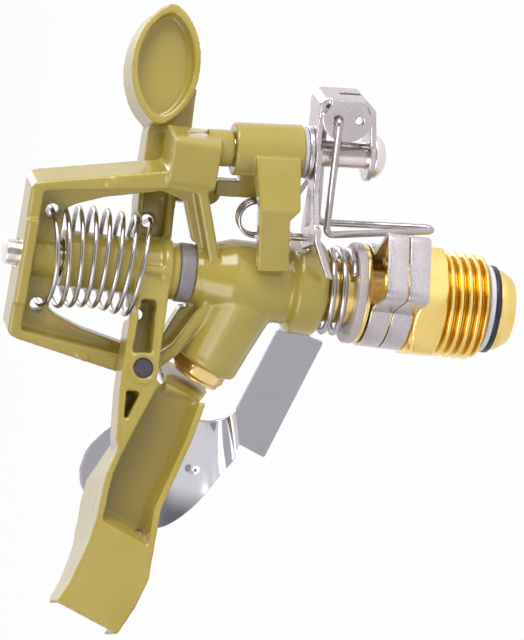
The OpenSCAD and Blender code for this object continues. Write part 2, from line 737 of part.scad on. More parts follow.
// A flat plan area of the arm, cut through all heights
module plan(p) {
    translate([0, 0, -20]) linear_extrude(height = far) polygon(p);
}

// All that lies from x0 to x1 across the leaning step, where the channel's floor comes forward to the blade
module beside_step(x0, x1) {
    translate([step_x, web_y, step_rise]) rotate([0, step_lean, step_turn])
        block([x0, -far, -far], [x1, far, far]);
}

module arm_channel() {
    spoon_c = [-38, 14.4];
    spoon_r = 12.6;
    roof = concat(channel_top, back_to_front(lower_by(channel_top, rail_t)));
    floor = concat(channel_low, back_to_front(lower_by(channel_low, -rail_t)));
    back = web_y + web_t;
    intersection() {
        union() {
            upright(-5, far) polygon(roof);
            upright(-5, far) polygon(floor);
        }
        union() {
            plan([[-75, -6], [-20, -6], [-20, back], [-75, back]]);
            plan([[-68, 0], [-30, 0], [-37, 9], [-41, 14.6], [-46, 15.8], [-51, 14.4], [-58, 8.5],
                [-65, 6.5]]);
        }
    }
    intersection() {
        upright(web_y, back) channel_outline();
        beside_step(-rail_t, far);
    }
    intersection() {
        upright(blade_y, blade_y + web_t) channel_outline();
        beside_step(-far, 0);
    }
    intersection() {
        upright(blade_y, back) channel_outline();
        beside_step(-rail_t, 0);
    }
    intersection() {
        translate([spoon_c[0], spoon_c[1], -10]) difference() {
            cylinder(h = far, r = spoon_r);
            translate([0, 0, -eps]) cylinder(h = far + 1, r = spoon_r - rail_t);
        }
        block([-52, 0, -20], [spoon_c[0], spoon_c[1], far]);
        upright(0, far) channel_outline();
    }
}

// The vane that the jet drives, a leaning wall from the channel's inner end back across the nozzle's mouth
module drive_vane() {
    intersection() {
        translate(vane_root) rotate([0, step_lean, step_turn]) block([-rail_t, 0, -far], [0, vane_l, far]);
        upright(0, far) polygon([[-28, -3.6], [-24.6, -4.4], [-22, -7.4], [-19, -8], [-10, -8],
            [-10, vane_top], [-28, vane_top]]);
    }
}

module arm_left_beam() {
    outline = [[0, low_edge], [-24, low_edge + 1.1], [-27, 3.3], [-36.5, 5.5], [-36.5, 11.7], [-34.4, 12.6],
        [-24.7, 12.9], [-8, 12.1], [0, 11.9]];
    box_pocket = [[-17.2, 7.3], [-6.6, 7.2], [-6.6, 10.2], [-17.2, 11.1]];
    tri_pocket = [[-31.8, 11.5], [-24.6, 11.6], [-24.6, 8.7]];
    difference() {
        upright(arm_front, arm_back) polygon(outline);
        upright(arm_front - 1, web_y - 0.4) polygon(box_pocket);
        upright(arm_front - 1, web_y - 0.4) polygon(tri_pocket);
        upright(arm_front - 1, web_y) intersection() {
            channel_outline();
            polygon(concat(lower_by(channel_top, rail_t), [[-22, -9], [-70, -9]]));
        }
        translate([-arm_coil_d / 2 + 0.4, 0, arm_hole_h + 0.4]) rotate([90, 0, 0])
            cylinder(h = 20, d = 2.2, center = true);
    }
}

module arm_right_beam() {
    front = -arm_back;
    outline = [[0, low_edge], [14.6, low_edge - 0.2], [27.6, 2.8], [36, 2.5], [36, 11.3], [29.4, 10.7],
        [27, 11.4], [14, 12], [0, 11.6]];
    pocket = [[6.2, 6.4], [14.8, 6.2], [17.6, 5.7], [17.6, 10.9], [6.2, 10.9]];
    difference() {
        upright(front, front + beam_depth) polygon(outline);
        upright(front - 1, web_y + 0.4) polygon(pocket);
        upright(web_y + web_t + 0.4, far) polygon(pocket);
    }
}

module arm_weight() {
    y0 = -5;
    y1 = y0 + weight_depth;
    dish = 3.4;
    translate([weight_x, 0, weight_rise]) rotate([0, 2, 0]) difference() {
        upright(y0, y1) lens(weight_half_l, weight_half_h);
        upright(y0 - 1, y0 + dish) lens(weight_half_l - 1.5 * weight_rim, weight_half_h - weight_rim);
        upright(y1 - 2, y1 + 1) lens(weight_half_l - 1.5 * weight_rim, weight_half_h - weight_rim);
    }
}

module arm_lug() {
    x0 = 14.0;
    x1 = 19.2;
    r = (x1 - x0) / 2;
    upright(0.7, 3.7) {
        translate([x0, r - 4.7]) square([x1 - x0, 9]);
        translate([x0 + r, r - 4.7]) circle(r = r);
    }
}

module swing_arm() {
    color(paint) on_arm() difference() {
        union() {
            translate([0, 0, hub_rise]) cylinder(h = hub_h, d = hub_d);
            translate([0, 0, low_edge]) cylinder(h = 1.8, d = hub_d + 1.6);
            block([-1.6, -hub_d / 2 - 0.8, low_edge], [-0.2, 0, 10.7]);
            difference() {
                union() {
                    arm_left_beam();
                    arm_right_beam();
                }
                ring(arm_hole_h + 1.9, 10, arm_coil_d + 2.2, arm_coil_d - 3.0);
            }
            arm_channel();
            drive_vane();
            arm_weight();
            arm_lug();
            translate([plug_x, arm_back, plug_rise]) rotate([90, 0, 0])
                cylinder(h = beam_depth + 0.3, d = 6.2);
        }
        translate([0, 0, hub_rise - eps]) cylinder(h = far, d = bush_d + 2 * fixed_gap);
        translate([arm_coil_d / 2, 0, arm_hole_h]) rotate([90, 0, 0])
            cylinder(h = 20, d = 2.6, center = true);
        translate([plug_x, 10, plug_rise]) rotate([90, 0, 0]) cylinder(h = 20, d = plug_d + 2 * fixed_gap);
        block([step_x - 5.2, -0.6, 4.6], [step_x - 1.6, 8, 6.4]);
    }
}

module arm_bush_lower() {
    color(nylon) on_top() ring(hub_rise, bush_len, bush_d, fulcrum_d + 2 * running_gap);
}

module arm_bush_upper() {
    color(nylon) on_top() ring(hub_top - 1.8 - bush_len, bush_len, bush_d, fulcrum_d + 2 * running_gap);
}

module strike_plug() {
    color(rubber) on_arm() translate([plug_x, arm_back - 0.2, plug_rise]) rotate([90, 0, 0])
        cylinder(h = beam_depth - 0.3, d = plug_d);
}

module arm_spring() {
    color(steel) tube(arm_path, arm_wire_d, [0, 0, 1]);
}

// Trip mechanism

module trip_pivot_pin() {
    dome_r = 4.8;
    z_head = plate_low_z - sheet_t - face_gap;
    color(steel) on_trip() {
        translate([0, 0, z_head - 0.5]) cylinder(h = pin_top - z_head + 0.4, d = trip_pin_d);
        translate([0, 0, z_head - head_h]) intersection() {
            cylinder(h = head_h, d = trip_head_d);
            translate([0, 0, dome_r]) sphere(r = dome_r);
        }
    }
}

// The upper plate of the bracket, seen from above
module bracket_plan() {
    difference() {
        union() {
            circle(r = 4.9);
            translate([0, -plate_w / 2]) square([yoke_l - sheet_t, plate_w]);
            polygon([[2, -6], [-6, -6.6], [-13.6, -11.4], [-15.4, -11.2], [plate_end, -2.2],
                [plate_end + 0.4, 0.6], [-15, 0.8], [-5.6, -1.4], [-5.6, 2]]);
        }
        polygon([[-6.6, -4.2], [-12.6, -7.6], [-14.4, -2.6], [-6.8, -2.6]]);
    }
}

module trip_bracket() {
    y_out = yoke_w / 2;
    bore = trip_pin_d + 2 * running_gap;
    color(steel) on_trip() difference() {
        union() {
            translate([0, 0, plate_z]) linear_extrude(height = sheet_t) bracket_plan();
            translate([0, 0, plate_low_z - sheet_t]) cylinder(h = sheet_t, r = 4.9);
            upright(-y_out + ear_t, y_out - ear_t) bracket_fold();
            for (s = [-1, 1]) {
                translate([0, s * (y_out - ear_t / 2), 0]) upright(-ear_t / 2, ear_t / 2) ear_outline();
            }
            tongue();
            rear_prong();
        }
        translate([0, 0, -far / 2]) cylinder(h = far, d = bore);
        for (z = [ear_hole_z, ear_hole_low_z]) translate([ear_x, 0, z]) rotate([90, 0, 0])
            cylinder(h = far, d = ear_hole_d, center = true);
        block([yoke_l - 2, -1, -7.5], [yoke_l + 1, 1, -3]);
        translate([stud_x, stud_y, -5]) cylinder(h = 10, d = stud_d - 0.6 + 2 * fixed_gap);
    }
}

// A round ear, cut back at its shoulders to the neck that is folded from the bracket's back
module ear_outline() {
    shoulder = ear_c[0] + 0.3;
    neck_x = ear_c[0] + 2.3;
    half = ear_neck_h / 2;
    intersection() {
        translate(ear_c) circle(r = ear_r);
        translate([shoulder - 2 * ear_r, ear_c[1] - ear_r]) square(2 * ear_r);
    }
    end = yoke_l - 0.2;
    translate([0, ear_c[1]]) polygon([[shoulder - 0.5, 0.1 - ear_r], [neck_x, -half], [end, -half],
        [end, half], [neck_x, half], [shoulder - 0.5, ear_r - 0.1]]);
}

// The bracket's back, folded from the upper plate round to the lower one
module bracket_fold() {
    bend = 2.2;
    top = plate_z + sheet_t;
    low = plate_low_z - sheet_t;
    x = yoke_l - bend;
    difference() {
        union() {
            translate([x, top - bend]) circle(r = bend);
            translate([x - 2, top - bend]) square([2, bend]);
            polygon([[3, low], [x, low + 0.9], [yoke_l, low + bend + 0.9], [yoke_l, top - bend],
                [x, top - bend], [x, low + 4], [3, low + 2]]);
        }
        translate([x, top - bend]) circle(r = bend - sheet_t);
        polygon([[-1, top - sheet_t], [x, top - sheet_t], [yoke_l - sheet_t, top - bend],
            [yoke_l - sheet_t, low + bend + 1.2], [x, low + 0.9 + sheet_t], [-1, low + sheet_t - 0.4]]);
    }
}

// The front tongue, bent down past the body
module tongue() {
    top = plate_z + sheet_t;
    intersection() {
        upright(-13, -8) polygon([[-12, plate_z], [-12, top], [-14.4, top], [-21.6, -1.6], [-21.9, -3.0],
            [-20.6, -2.5], [-14.2, plate_z]]);
        plan_trip([[-11, -7.6], [-11, -12.4], [-14, -12.6], [-22.4, -12.4], [-22.4, -11.2], [-15, -8.4]]);
    }
}

// The rear prong, bent up behind the dog
module rear_prong() {
    top = plate_z + sheet_t;
    upright(1.4, 4.6)
        polygon([[-3, plate_z], [-3, top], [-5.8, top], [-10.2, 4.0], [-10.7, 3.2], [-6, plate_z]]);
}

module plan_trip(p) {
    translate([0, 0, -20]) linear_extrude(height = 40) polygon(p);
}

module spring_stud() {
    color(steel) on_trip() translate([stud_x, stud_y, plate_z]) {
        cylinder(h = sheet_t + 0.1, d = stud_d - 0.6);
        translate([0, 0, sheet_t + 0.02]) cylinder(h = stud_h - 1, d = stud_d - 0.6);
        translate([0, 0, sheet_t + stud_h - 1.2]) cylinder(h = 0.9, d = stud_d);
    }
}

module pivot_washer_lower() {
    color(steel) on_trip() ring(plate_z + sheet_t + face_gap, pivot_washer_t, pivot_washer_d,
        trip_pin_d + 2 * running_gap);
}

module pivot_washer_upper() {
    color(steel) on_trip() ring(plate_z + sheet_t + pivot_washer_t + 2 * face_gap, pivot_washer_t,
        pivot_washer_d - 0.6, trip_pin_d + 2 * running_gap);
}

module reversing_dog() {
    y0 = dog_bar_y;
    y1 = dog_bar_y + dog_bar_t;
    bar_side = [[-21.5, 5.2], [-11.3, 6.2], [-9.2, dog_z + 0.9], [0, dog_z + 0.9], [0, 13.2],
        [-8.7, 12.4], [-21.7, 11.3]];
    color(paint) on_trip() difference() {
        union() {
            translate([0, 0, dog_z]) cylinder(h = dog_boss_h, d1 = dog_boss_d, d2 = dog_boss_d - 0.5);
            intersection() {
                upright(-12, 5) polygon(bar_side);
                plan_trip([[-22, y0 + 0.6], [-9.5, y0], [-2, y0 + 3.4], [4, y0 + 6.6], [0, 3.8], [-3.8, -2],
                    [-9.4, y1 + 0.4], [-22, y1 + 0.8]]);
            }
            block([-10, 1.0, 9], [-3, 3.8, 14.6]);
            block([-10, 1.0, 9], [-6.8, 3.8, 19]);
        }
        translate([0, 0, -far / 2]) cylinder(h = far, d = trip_pin_d + 2 * running_gap);
        translate([toggle_hole_x, y1 - 1.2, toggle_hole_z]) rotate([-90, 0, 0])
            cylinder(h = 6, d = toggle_wire_d + 0.6);
    }
}

module toggle_spring() {
    color(steel) on_trip() tube(toggle_path, toggle_wire_d, [1, 1, 0]);
}

// The bail: a rod from each ear, brought together and turned down to a narrow loop
module trip_wire() {
    y_ear = yoke_w / 2 + wire_clear + trip_wire_d / 2;
    x_top = ear_x - wire_reach;
    z_top = ear_hole_z - 0.3;
    x_low = x_top + 1;
    z_low = z_top - wire_drop;
    side = [[ear_x, y_ear - 2.4, ear_hole_z], [ear_x, y_ear, ear_hole_z], [x_top, wire_half_w, z_top],
        [x_low, 1.15, z_low]];
    other = [for (i = [3 : -1 : 0]) [side[i][0], -side[i][1], side[i][2]]];
    bends = [1, 1.8, 1.1];
    path = concat([side[0]],
        [for (i = [1 : 3]) each turn_at(side[i - 1], side[i], i < 3 ? side[i + 1] : other[0], bends[i - 1])],
        [for (i = [0 : 2])
            each turn_at(i > 0 ? other[i - 1] : side[3], other[i], other[i + 1], bends[2 - i])],
        [other[3]]);
    color(steel) on_trip() tube(path, trip_wire_d, [1, 0, -1]);
}

// A rounded turn at c on the way from a to b, starting r before it
function turn_at(a, c, b, r) =
    let (p = c + r * (a - c) / norm(a - c), q = c + r * (b - c) / norm(b - c))
    [for (t = [0 : 0.25 : 1]) (1 - t) * (1 - t) * p + 2 * t * (1 - t) * c + t * t * q];

// Deflector

module deflector_flap() {
    y0 = flap_y;
    dish_y = flap_y + flap_t + leaf_sag - leaf_dish_r;
    color(chrome) translate([0, 0, body_z]) difference() {
        union() {
            upright(y0, y0 + flap_t) polygon(plate_outline);
            intersection() {
                translate([leaf_c[0], dish_y, leaf_c[1]]) difference() {
                    sphere(r = leaf_dish_r);
                    sphere(r = leaf_dish_r - flap_t);
                }
                upright(0, far) polygon(leaf_outline);
            }
        }
        translate([flap_pivot[0], y0 - 1, flap_pivot[1]]) rotate([-90, 0, 0])
            cylinder(h = 4, d = flap_screw_d + 2 * running_gap);
    }
}

module deflector_washer() {
    color(steel) translate([flap_pivot[0], 0, body_z + flap_pivot[1]]) rotate([-90, 0, 0])
        ring(flap_y + flap_t + face_gap, 0.7, 7.4, flap_screw_d + 2 * running_gap);
}

module deflector_screw() {
    head_y = flap_y + flap_t + 2 * face_gap + 0.7;
    color(steel) translate([flap_pivot[0], 0, body_z + flap_pivot[1]]) rotate([-90, 0, 0]) difference() {
        union() {
            translate([0, 0, flap_y - flap_screw_in])
                cylinder(h = head_y - flap_y + flap_screw_in + eps, d = flap_screw_d);
            translate([0, 0, head_y]) cylinder(h = 2, d = 6.6);
        }
        translate([-4, -0.4, head_y + 1.1]) cube([8, 0.8, 2]);
    }
}

bearing_nipple();
lower_nylon_washer();
lower_rubber_seal();
upper_nylon_washer();
pressure_spring();
trip_collar_lower();
trip_collar_upper();
sleeve_tube();
head_body();
nozzle();
fulcrum_pin();
hub_thrust_washer();
swing_arm();
arm_bush_lower();
arm_bush_upper();
strike_plug();
arm_spring();
trip_pivot_pin();
trip_bracket();
spring_stud();
pivot_washer_lower();
pivot_washer_upper();
reversing_dog();
toggle_spring();
trip_wire();
deflector_flap();
deflector_washer();
deflector_screw();
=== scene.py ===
"""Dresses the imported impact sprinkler. Metres, in the part's own frame: +Z is the axis of rotation, the jet
leaves towards -X. The sizes are typed in millimetres and brought to metres as a mesh is made."""

import math

import bpy
import numpy as np
from mathutils import Matrix, Vector


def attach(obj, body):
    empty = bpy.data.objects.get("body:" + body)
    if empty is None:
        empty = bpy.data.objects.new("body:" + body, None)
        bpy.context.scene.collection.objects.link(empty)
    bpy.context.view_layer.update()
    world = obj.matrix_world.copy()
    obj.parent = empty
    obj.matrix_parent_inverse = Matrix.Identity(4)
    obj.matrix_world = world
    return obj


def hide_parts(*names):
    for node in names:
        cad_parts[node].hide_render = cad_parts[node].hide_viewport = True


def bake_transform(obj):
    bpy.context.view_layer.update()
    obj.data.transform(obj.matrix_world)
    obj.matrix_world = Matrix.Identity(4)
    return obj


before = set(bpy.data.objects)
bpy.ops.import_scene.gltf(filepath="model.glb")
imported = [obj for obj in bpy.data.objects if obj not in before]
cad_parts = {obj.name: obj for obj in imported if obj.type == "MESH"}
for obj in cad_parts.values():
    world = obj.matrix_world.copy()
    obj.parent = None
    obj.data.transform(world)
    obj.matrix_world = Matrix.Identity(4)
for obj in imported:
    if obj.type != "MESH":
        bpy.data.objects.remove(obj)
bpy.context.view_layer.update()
MM = 0.001
TAU = 2 * math.pi

# Angles in degrees
ARM_YAW = 22
JET_ANGLE = 22
TRIP_LEAN = 4
# Heights in millimetres, from the foot of the inlet thread
HEX_Z = 9.4
COLLAR_LOWER_Z = 15.7
COLLAR_UPPER_Z = 20.1
UPPER_WASHER_Z = 25.3
BODY_Z = 32.7
JET_Z = 46.0
# Bores in millimetres
SLEEVE_FIT = 12.7
FULCRUM_FIT = 5.1
TRIP_PIN_FIT = 5.3
# Middles of the bridge's two spring holes, in metres
SPRING_HOLES = ((-0.0095, -0.0015, 0.088), (0.0095, -0.0015, 0.088))


# ---------------------------------------------------------------- shader arithmetic


class Value:
    """A socket of one material. Writing arithmetic with it adds Math nodes."""

    def __init__(self, finish, socket):
        self.finish, self.socket = finish, socket

    def math(self, operation, *others):
        return self.finish.node("Math", [self, *others], operation=operation)

    def __add__(self, o):
        return self.math("ADD", o)

    def __mul__(self, o):
        return self.math("MULTIPLY", o)

    def __sub__(self, o):
        return self.math("SUBTRACT", o)

    def __rsub__(self, o):
        return self.finish.node("Math", [o, self], operation="SUBTRACT")

    __radd__, __rmul__ = __add__, __mul__


def put(tree, socket, value):
    """Links a socket or sets it. A colour may be given without its alpha, and None leaves the socket as it is."""
    if isinstance(value, Value):
        value = value.socket
    if isinstance(value, bpy.types.NodeSocket):
        tree.links.new(value, socket)
    elif hasattr(value, "__len__") and len(value) == 3 and socket.type == "RGBA":
        socket.default_value = (*value, 1)
    elif value is not None:
        socket.default_value = value


def new_node(tree, kind, inputs=(), **settings):
    """Any node: its type, its settings first, then the values or links of its sockets, by order or by name."""
    n = tree.nodes.new("ShaderNode" + kind)
    for key, value in settings.items():
        setattr(n, key, value)
    for key, value in inputs.items() if isinstance(inputs, dict) else enumerate(inputs):
        put(tree, n.inputs[key], value)
    return n


class Finish:
    """One material: a node tree round one Principled shader."""

    def __init__(self, name, **fixed):
        self.material = bpy.data.materials.new(name)
        self.material.use_nodes = True
        self.tree = self.material.node_tree
        self.tree.nodes.clear()
        self.shader = self.tree.nodes.new("ShaderNodeBsdfPrincipled")
        out = self.tree.nodes.new("ShaderNodeOutputMaterial")
        self.tree.links.new(self.shader.outputs[0], out.inputs[0])
        for key, value in fixed.items():
            self.set(key.replace("_", " "), value)
        self.place = self.node("TexCoord", out="Object")

    def node(self, kind, inputs=(), out=0, **settings):
        """One output of a new node of this material."""
        return Value(self, new_node(self.tree, kind, inputs, **settings).outputs[out])

    def set(self, name, value):
        put(self.tree, self.shader.inputs[name], value)

    def noise(self, scale, detail=3.0, rough=0.5, at=None):
        """Noise with its scale in cycles per metre."""
        inputs = {"Vector": at or self.place, "Scale": scale, "Detail": detail, "Roughness": rough}
        return self.node("TexNoise", inputs)

    def stretched(self, x, y, z):
        """Object coordinates multiplied along each axis, for streaks."""
        return self.node("Mapping", {"Vector": self.place, "Scale": (x, y, z)})

    def blend(self, mask, a, b):
        return self.node("Mix", {0: mask, 6: a, 7: b}, out=2, data_type="RGBA")

    def step(self, value, low, high, a=0.0, b=1.0):
        """A value mapped from low..high to a..b and held there."""
        return self.node("MapRange", [value, low, high, a, b])

    def bump(self, height, distance, strength=1.0, normal=None):
        inputs = {"Strength": strength, "Distance": distance, "Height": height}
        if normal:
            inputs["Normal"] = normal
        return self.node("Bump", inputs)


def enamel():
    """Glossy olive-gold enamel over a die casting: a soft orange peel, broad drifts of tone, painted shade that
    darkens the arm's channel floor, and bare pitted skin left round the two spring holes in the bridge."""
    f = Finish("olive_enamel", Coat_Weight=0.45, Coat_Roughness=0.07)
    broad = f.noise(70, 2)
    peel = f.noise(620, 2, 0.45)
    tone = f.blend(f.step(broad, 0.3, 0.7), (0.37, 0.277, 0.048), (0.425, 0.323, 0.068))
    pits = f.noise(3400, 3, 0.7)
    left, right = (
        f.step(f.node("VectorMath", [f.place, hole], out=1, operation="DISTANCE"), 0.0022, 0.0042, 1, 0)
        for hole in SPRING_HOLES
    )
    near = left + right
    rough_skin = near * f.step(pits, 0.42, 0.6)
    # Painted shade: the channel's floor, a thin slab in the arm's own frame outwards from where the channel
    # starts, is darkened
    in_arm = f.node("Mapping", {"Vector": f.place, "Rotation": (0, 0, math.radians(-ARM_YAW))})
    along, deep = (f.node("SeparateXYZ", [in_arm], out=k) for k in (0, 1))
    painted_channel_shade = f.step(deep, 0.0001, 0.0006) * f.step(deep, 0.0013, 0.0016, 1, 0)
    tone = f.blend(painted_channel_shade * f.step(along, -0.0235, -0.0215, 1, 0), tone, (0.29, 0.208, 0.03))
    f.set("Base Color", f.blend(rough_skin * 0.7, tone, (0.2, 0.165, 0.09)))
    f.set("Roughness", f.step(peel, 0.3, 0.7, 0.17, 0.24) + near * 0.25)
    f.set("Normal", f.bump(rough_skin, 0.0001, 0.6, f.bump(peel, 0.00002, 0.25)))
    return f.material


def metal(name, colour, dark, rough, streak=(1, 1, 1), streak_scale=900, stain=0.3, thread_shade=None):
    """Bare metal: fine tool marks along one direction, and slight stains that dull it. Where a thread shade colour
    is given, it is painted as shade into the valleys of the inlet's thread: what lies between root and crest,
    below the hexagon."""
    f = Finish(name, Metallic=1.0)
    marks = f.noise(streak_scale, 3, 0.6, f.stretched(*streak))
    stains = f.step(f.noise(160, 4, 0.6), 0.45, 0.75)
    tone = f.blend(stains * stain, colour, dark)
    # Painted shade: the thread's valleys are darkened where the ridges would shade them
    if thread_shade:
        flat = f.node("VectorMath", [f.place, (1, 1, 0)], operation="MULTIPLY")
        radius = f.node("VectorMath", [flat], out=1, operation="LENGTH")
        height = f.node("SeparateXYZ", [f.place], out=2)
        valley_shade = f.step(radius, 0.0093, 0.0103, 1, 0) * f.step(radius, 0.0070, 0.0075)
        valley_shade = valley_shade * f.step(height, 0.0092, 0.0096, 1, 0) * f.step(height, 0.0, 0.0002)
        tone = f.blend(valley_shade, tone, thread_shade)
    f.set("Base Color", tone)
    f.set("Roughness", f.step(marks, 0.25, 0.75, rough * 0.75, rough * 1.3) + stains * 0.06)
    f.set("Normal", f.bump(marks, 0.00002, 0.4))
    return f.material


def plastic(name, colour, pale, rough):
    """Moulded nylon or rubber with a soft mottle."""
    f = Finish(name, Specular_IOR_Level=0.45)
    mottle = f.noise(700, 3)
    f.set("Base Color", f.blend(f.step(mottle, 0.3, 0.7), colour, pale))
    f.set("Roughness", f.step(mottle, 0.2, 0.8, rough * 0.85, rough * 1.15))
    f.set("Normal", f.bump(f.noise(3000, 2), 0.00002, 0.3))
    return f.material


ENAMEL = enamel()
BRASS = metal(
    "turned_brass", (1.0, 0.735, 0.26), (0.64, 0.37, 0.06), 0.2, (1, 1, 9), 500, thread_shade=(0.6, 0.34, 0.02)
)
NOZZLE_BRASS = metal("nozzle_brass", (1.0, 0.72, 0.33), (0.65, 0.38, 0.13), 0.3, (1, 1, 1), 900)
STRIP = metal("strip_steel", (0.64, 0.58, 0.60), (0.38, 0.32, 0.315), 0.26, (1, 1, 6), 700)
WIRE = metal("spring_wire", (0.50, 0.46, 0.455), (0.22, 0.20, 0.20), 0.2, (1, 1, 1), 1200)
PIN = metal("ground_pin", (0.88, 0.81, 0.79), (0.46, 0.40, 0.38), 0.2, (1, 1, 8), 900)
CHROME = metal("polished_sheet", (0.43, 0.415, 0.455), (0.35, 0.335, 0.375), 0.1, (1, 5, 1), 120, 0.2)
GREY = plastic("grey_nylon", (0.22, 0.20, 0.215), (0.26, 0.24, 0.255), 0.4)
WHITE = plastic("white_nylon", (0.62, 0.63, 0.70), (0.70, 0.70, 0.76), 0.35)
LILAC = plastic("pale_washer_nylon", (0.50, 0.47, 0.53), (0.57, 0.54, 0.60), 0.35)
BUFF = plastic("buff_nylon", (0.46, 0.40, 0.395), (0.53, 0.47, 0.46), 0.35)
RUBBER = plastic("seal_rubber", (0.012, 0.011, 0.018), (0.022, 0.02, 0.03), 0.35)
PLUG = plastic("plug_rubber", (0.05, 0.045, 0.065), (0.075, 0.068, 0.09), 0.45)


# ---------------------------------------------------------------- meshes

WELD = 0.000002


def add(name, verts, faces, body, material, node):
    """A mesh from points in millimetres, riding a body and standing for a CAD node, if one is given."""
    mesh = bpy.data.meshes.new(name)
    mesh.from_pydata((np.asarray(verts, float) * MM).tolist(), [], [list(f) for f in faces])
    mesh.polygons.foreach_set("use_smooth", np.ones(len(mesh.polygons), bool))
    mesh.update()
    obj = bpy.data.objects.new(name, mesh)
    bpy.context.scene.collection.objects.link(obj)
    mesh.materials.append(material)
    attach(obj, body)
    if node:
        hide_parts(node)
    return obj


def quads(rows, cols, wrap_rows, wrap_cols):
    """Faces of a grid of rows by columns of points, closed round either way."""
    i, j = np.meshgrid(np.arange(rows - (not wrap_rows)), np.arange(cols - (not wrap_cols)), indexing="ij")
    i, j = i.ravel(), j.ravel()
    a, b = (i + 1) % rows, (j + 1) % cols
    return np.stack([i * cols + j, i * cols + b, a * cols + b, a * cols + j], 1).tolist()


def arc_corner(p, radii, closed=True, n=5):
    """A polyline whose corners are cut back by their radii and joined with parabolas of n points."""
    p = np.asarray(p, float)
    radii = np.broadcast_to(radii, len(p)).astype(float)
    out = []
    t = np.linspace(0, 1, n)[:, None]
    for i in range(len(p)):
        a, c, b = p[i - 1], p[i], p[(i + 1) % len(p)]
        if radii[i] <= 0 or (not closed and i in (0, len(p) - 1)):
            out.append(c[None])
            continue
        la, lb = np.linalg.norm(a - c), np.linalg.norm(b - c)
        r = min(radii[i], 0.48 * la, 0.48 * lb)
        q0, q1 = c + (a - c) / la * r, c + (b - c) / lb * r
        out.append((1 - t) ** 2 * q0 + 2 * t * (1 - t) * c + t**2 * q1)
    return np.concatenate(out)


def turned(profile, n=72, soften=0.12, place=None):
    """A closed outline of (radius, height) points turned about Z. Its corners are softened."""
    prof = arc_corner(profile, soften, n=4)
    a = np.arange(n) / n * TAU
    r, z = prof[:, 0], prof[:, 1]
    heights = np.broadcast_to(z[:, None], (len(r), n))
    verts = np.stack([r[:, None] * np.cos(a), r[:, None] * np.sin(a), heights], -1).reshape(-1, 3)
    if place is not None:
        verts = verts @ place[0].T + place[1]
    return verts, quads(len(r), n, True, True)


def washer(z, t, d, bore):
    """The outline of a flat ring."""
    return [(bore / 2, z), (d / 2, z), (d / 2, z + t), (bore / 2, z + t)]


def pin_outline(r, z0, z1, bevel):
    """The outline of a solid pin with a bevelled top; its middle is left as a hair-fine bore."""
    return [(0.01, z0), (r, z0), (r, z1 - bevel), (r - bevel, z1), (0.01, z1)]


def frames_along(path):
    """For each point of an open path its direction and two square directions, carried along without twist."""
    p = np.asarray(path, float)
    t = np.gradient(p, axis=0)
    t /= np.linalg.norm(t, axis=1)[:, None]
    u = np.zeros_like(p)
    ref = np.eye(3)[np.argmin(np.abs(t[0]))]
    u[0] = np.cross(t[0], ref)
    u[0] /= np.linalg.norm(u[0])
    for i in range(1, len(p)):
        u[i] = u[i - 1] - t[i] * (u[i - 1] @ t[i])
        u[i] /= np.linalg.norm(u[i])
    return t, u, np.cross(t, u)


def wire(path, d, sides=14):
    """A round wire along a path: rings of points, of which the first and last few are drawn in to a dome."""
    p = np.asarray(path, float)
    t, u, v = frames_along(p)
    dome = np.array([1.0, 0.85, 0.5, 0.02])
    reach = np.sqrt(1 - np.minimum(dome, 1) ** 2) * d / 2 * 0.6
    centre = np.concatenate([(p[0] - t[0] * reach[:, None])[::-1], p[1:-1], p[-1] + t[-1] * reach[:, None]])
    size = np.concatenate([dome[::-1], np.ones(len(p) - 2), dome]) * d / 2
    uu = np.concatenate([np.repeat(u[:1], 4, 0), u[1:-1], np.repeat(u[-1:], 4, 0)])
    vv = np.concatenate([np.repeat(v[:1], 4, 0), v[1:-1], np.repeat(v[-1:], 4, 0)])
    a = np.arange(sides) / sides * TAU
    ring = uu[:, None] * np.cos(a)[None, :, None] + vv[:, None] * np.sin(a)[None, :, None]
    verts = (centre[:, None] + ring * size[:, None, None]).reshape(-1, 3)
    faces = quads(len(centre), sides, False, True)
    last = (len(centre) - 1) * sides
    return verts, faces + [list(range(sides))[::-1], [last + k for k in range(sides)]]


def strip(path, height, thick, z0, edge=0.16):
    """A flat strip standing on edge, bent along a closed plan path that its rounded section is carried round."""
    p = np.asarray(path, float)
    t = np.roll(p, -1, 0) - np.roll(p, 1, 0)
    t /= np.linalg.norm(t, axis=1)[:, None]
    out = np.stack([t[:, 1], -t[:, 0]], 1)
    h = thick / 2
    section = arc_corner([(-h, 0), (h, 0), (h, height), (-h, height)], edge, n=4)
    xy = p[:, None] + out[:, None] * section[None, :, :1]
    z = np.broadcast_to(section[None, :, 1:] + z0, (*xy.shape[:2], 1))
    return np.concatenate([xy, z], -1).reshape(-1, 3), quads(len(p), len(section), True, True)


def turn_z(verts, degrees):
    """Points turned about Z."""
    a = math.radians(degrees)
    c, s = math.cos(a), math.sin(a)
    return np.asarray(verts) @ np.array([[c, s, 0], [-s, c, 0], [0, 0, 1]])


